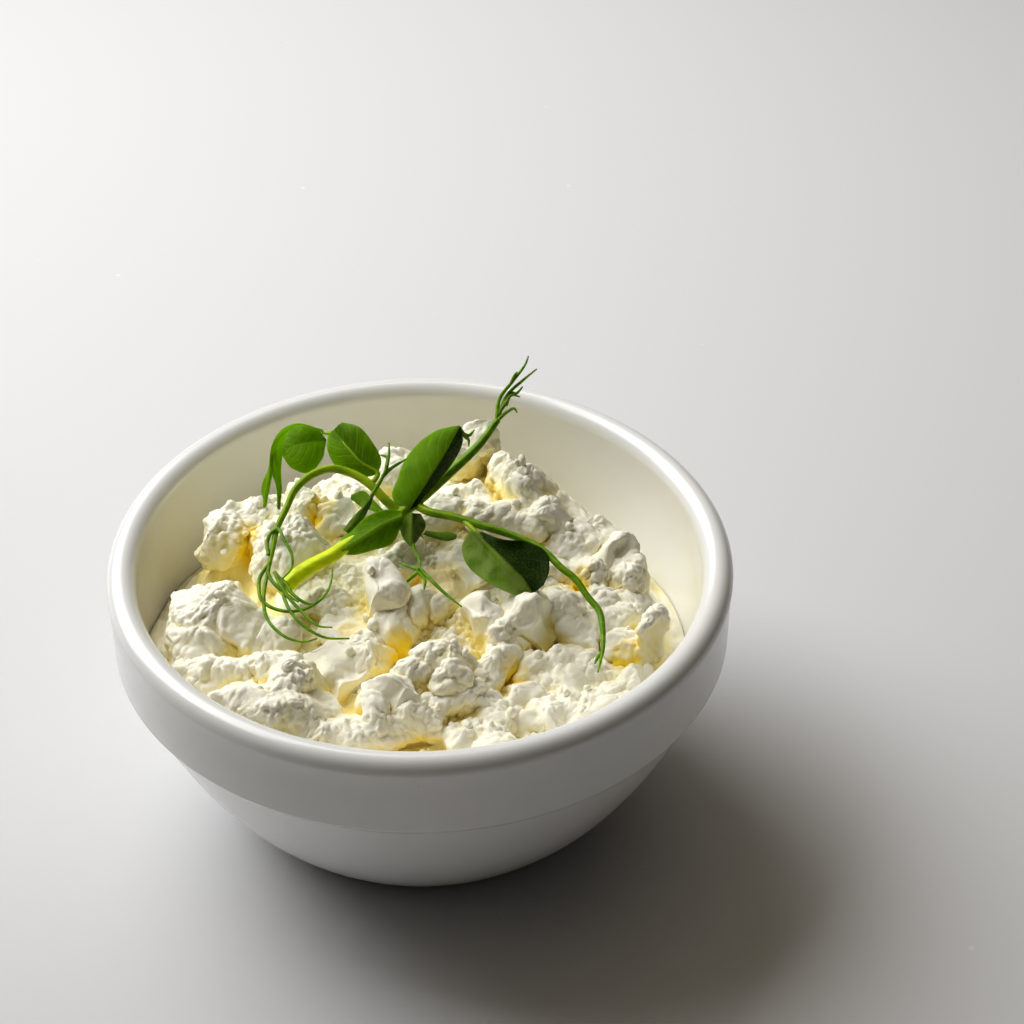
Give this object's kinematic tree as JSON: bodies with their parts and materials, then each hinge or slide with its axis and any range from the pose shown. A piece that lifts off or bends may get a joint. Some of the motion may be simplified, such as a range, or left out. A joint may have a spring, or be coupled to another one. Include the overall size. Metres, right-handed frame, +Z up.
{
  "type": "bowl of cottage cheese",
  "caption": "Small round porcelain bowl filled with a heap of crumbly curd cheese, with a curling green pea shoot laid across the top.",
  "frame": {"origin": "centre of the bowl's foot, on the surface it stands on", "axes": "+Z up along the bowl's axis, +X to the right and +Y away from the side that faces the viewer"},
  "size_m": [0.11, 0.11, 0.0746],
  "materials": {
    "porcelain": "white gloss glaze",
    "curd": "moist cream-white curds with yellow hollows",
    "greens": "satin fresh green leaves, yellow-green stem"
  },
  "bodies": {
    "root": {"bowl": "porcelain", "cottage_cheese": "curd", "pea_shoot": "greens"}
  },
  "joints": []
}
